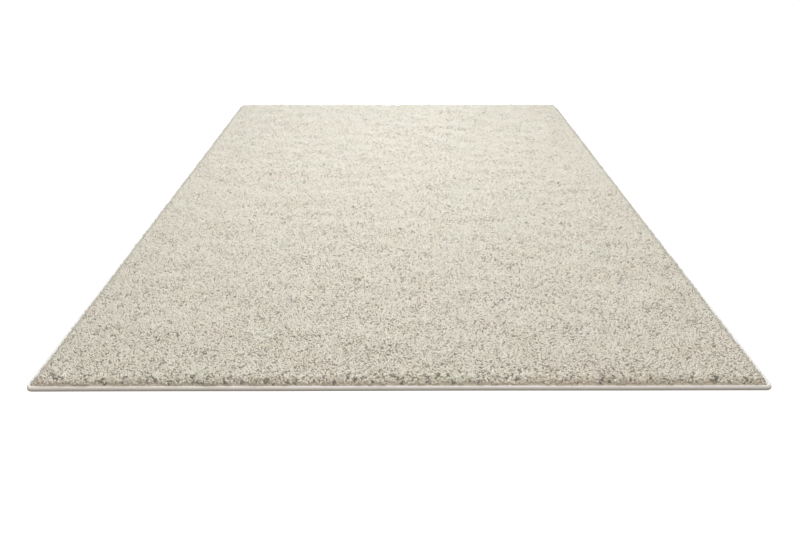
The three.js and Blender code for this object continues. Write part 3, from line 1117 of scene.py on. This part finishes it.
def edge_path():
    """The line of the serging's middle, anticlockwise from the front left corner."""
    # Each side's name, the way out over it, how far out its edge lies, and half its length.
    sides = (
        ("front", (0, -1), CLOTH_HALF_LENGTH, CLOTH_HALF_WIDTH),
        ("right", (1, 0), CLOTH_HALF_WIDTH, CLOTH_HALF_LENGTH),
        ("back", (0, 1), CLOTH_HALF_LENGTH, CLOTH_HALF_WIDTH),
        ("left", (-1, 0), CLOTH_HALF_WIDTH, CLOTH_HALF_LENGTH),
    )
    path = []
    for side, (out_x, out_y), across, half in sides:
        straight = half - CORNER_RADIUS
        count = round(2 * straight / EDGE_STEP)
        for step in range(count + 1):
            share = step / count
            along = straight * (2 * share - 1)
            reach = across - edge_sway(side, share) + SERGING_OUT
            path.append((out_x * reach - out_y * along, out_y * reach + out_x * along, 0.0))
        middle_x = out_x * (across - CORNER_RADIUS) - out_y * straight
        middle_y = out_y * (across - CORNER_RADIUS) + out_x * straight
        for step in range(1, CORNER_STEPS):
            turn = math.pi / 2 * step / CORNER_STEPS
            reach_x = out_x * math.cos(turn) - out_y * math.sin(turn)
            reach_y = out_y * math.cos(turn) + out_x * math.sin(turn)
            radius = CORNER_RADIUS + SERGING_OUT
            path.append((middle_x + reach_x * radius, middle_y + reach_y * radius, 0.0))
    return path


# %% Serging section
SERGING_HEIGHT = 10.4 * MM
FOOT_RADIUS = 1.2 * MM
ARC_STEP = 36


def section_points():
    """The serging's section, flat at its foot and round at its back: sideways, then down."""
    back = SERGING_WIDTH / 2
    foot = FOOT_RADIUS
    # Each arc's middle and height, its radius, and the degrees where it starts and ends.
    arcs = (
        (back - foot, foot, foot, -90, 0),
        (0.0, SERGING_HEIGHT - back, back, 0, 180),
        (foot - back, foot, foot, 180, 270),
    )
    points = []
    for middle, height, radius, start, end in arcs:
        steps = round((end - start) / ARC_STEP)
        for step in range(steps + 1):
            angle = math.radians(start + (end - start) * step / steps)
            points.append((middle + radius * math.cos(angle), -height - radius * math.sin(angle), 0.0))
    # The sweep turns the section upside down, so it is drawn downwards and in reverse order.
    return points[::-1]


def poly_curve(name, points):
    """A closed line through points, as a curve object."""
    data = bpy.data.curves.new(name, "CURVE")
    data.dimensions = "3D"
    spline = data.splines.new("POLY")
    spline.points.add(len(points) - 1)
    spline.points.foreach_set("co", np.array([(*point, 1.0) for point in points]).ravel())
    spline.use_cyclic_u = True
    return add_object(name, data)


# %% Serging tree
SERGING_INPUTS = {
    "Edge": "Geometry",
    "Section": "Object",
    "Turn Pitch": "Float",
    "Groove": "Float",
    "Yarn": "Material",
}


def serging_tree():
    """A tree that sweeps the section along the edge, with a swell at each turn of yarn."""
    tree, given = new_tree("wind_serging", SERGING_INPUTS, "Serging")
    half_pitch = add_node(tree, "ShaderNodeMath", {0: given["Turn Pitch"], 1: 2.0}, operation="DIVIDE")
    spaced = {"Curve": given["Edge"], "Length": half_pitch.outputs[0]}
    stops = add_node(tree, "GeometryNodeResampleCurve", spaced, mode="LENGTH")
    level = add_node(tree, "GeometryNodeSetCurveNormal", {"Curve": stops.outputs[0]}, mode="Z_UP")
    # Every second stop lies in the groove between two turns, where the section is smaller.
    index = add_node(tree, "GeometryNodeInputIndex").outputs[0]
    odd = add_node(tree, "ShaderNodeMath", {0: index, 1: 2.0}, operation="MODULO")
    groove = add_node(tree, "ShaderNodeMath", {0: odd.outputs[0], 1: given["Groove"]}, operation="MULTIPLY")
    girth = add_node(tree, "ShaderNodeMath", {0: 1.0, 1: groove.outputs[0]}, operation="SUBTRACT")
    section = add_node(tree, "GeometryNodeObjectInfo", {"Object": given["Section"]}).outputs["Geometry"]
    sweep = {"Curve": level.outputs[0], "Profile Curve": section, "Scale": girth.outputs[0]}
    swept = add_node(tree, "GeometryNodeCurveToMesh", sweep)
    smooth = add_node(tree, "GeometryNodeSetShadeSmooth", {"Geometry": swept.outputs[0]})
    real = add_node(tree, "GeometryNodeRealizeInstances", {"Geometry": smooth.outputs[0]})
    turns = real.outputs[0]
    dyed = add_node(tree, "GeometryNodeSetMaterial", {"Geometry": turns, "Material": given["Yarn"]})
    add_node(tree, "NodeGroupOutput", {"Serging": dyed.outputs[0]})
    return tree


# %% [markdown]
# ### Serging yarn
# Spun polyester, off-white and smoother than the pile. Its turns lie close together, so the rim has a soft
# highlight along its top that breaks up slightly from turn to turn. Its colour is darkened to grey towards
# the
# floor: painted shade, for the shade under the rounded rim.

# %% Serging yarn
# Below this height the colour darkens towards the floor: painted shade.
PAINTED_SHADE_HEIGHT = 9.0 * MM
SPECKLE_SIZE = 3.0 * MM
SPECKLE_RELIEF = 0.3 * MM
FADE_SIZE = 60.0 * MM
FADE_CONTRAST = 0.25

serging_yarn, tree = new_material("spun_polyester_serging_yarn")
place = add_node(tree, "ShaderNodeTexCoord").outputs["Object"]
speckle = add_node(tree, "ShaderNodeTexNoise", {"Vector": place, "Scale": 1 / SPECKLE_SIZE, "Detail": 2.0})
relief = {"Strength": 0.4, "Distance": SPECKLE_RELIEF, "Height": speckle.outputs["Fac"]}
fine = add_node(tree, "ShaderNodeBump", relief)
height = add_node(tree, "ShaderNodeSeparateXYZ", {"Vector": place}).outputs["Z"]
lit_share = add_node(tree, "ShaderNodeMapRange", {"Value": height, "From Max": PAINTED_SHADE_HEIGHT}).outputs["Result"]
fade = patches(tree, FADE_SIZE, FADE_CONTRAST)
whites = {"Factor": fade, "A": linear("#FAF8F3"), "B": linear("#FFFEFB")}
white = add_node(tree, "ShaderNodeMix", whites, data_type="RGBA").outputs["Result"]
# The grey at the floor is painted shade under the rounded rim.
foot_shading = {"Factor": lit_share, "A": linear("#8E8C87"), "B": white}
painted_shading = add_node(tree, "ShaderNodeMix", foot_shading, data_type="RGBA")
polyester = add_node(
    tree,
    "ShaderNodeBsdfPrincipled",
    {
        "Base Color": painted_shading.outputs["Result"],
        "Normal": fine.outputs["Normal"],
        "Roughness": 0.55,
        "IOR": 1.54,
        "Specular IOR Level": 0.4,
    },
)
add_node(tree, "ShaderNodeOutputMaterial", {"Surface": polyester.outputs["BSDF"]})

# %% Wind the serging
TURN_PITCH = 4.4 * MM
GROOVE = 0.05

edge_line = poly_curve("edge_line", edge_path())
section_line = poly_curve("section_line", section_points())
serging = grow(
    "serged_edge",
    edge_line,
    serging_tree(),
    {"Section": section_line, "Turn Pitch": TURN_PITCH, "Groove": GROOVE, "Yarn": serging_yarn},
)
bpy.data.objects.remove(section_line)
lowest = min(vertex.co.z for vertex in serging.data.vertices)
highest = max(vertex.co.z for vertex in serging.data.vertices)
print("serging", len(serging.data.loop_triangles), "triangles")
print("serging from", round(lowest / MM, 2), "to", round(highest / MM, 2), "mm high")

# %% [markdown]
# ## Put it together
# Every piece belongs to the one rigid body. The ground cloth is the sheet that was cut, 1.583 by 2.283 m,
# and the pile and the serging are on it.

for piece in (ground, bed, *pile_strips, serging):
    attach(piece, "root")
for piece in (ground, bed, *pile_strips):
    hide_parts("shag_pile")
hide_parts("binding_front", "binding_right", "binding_back", "binding_left")
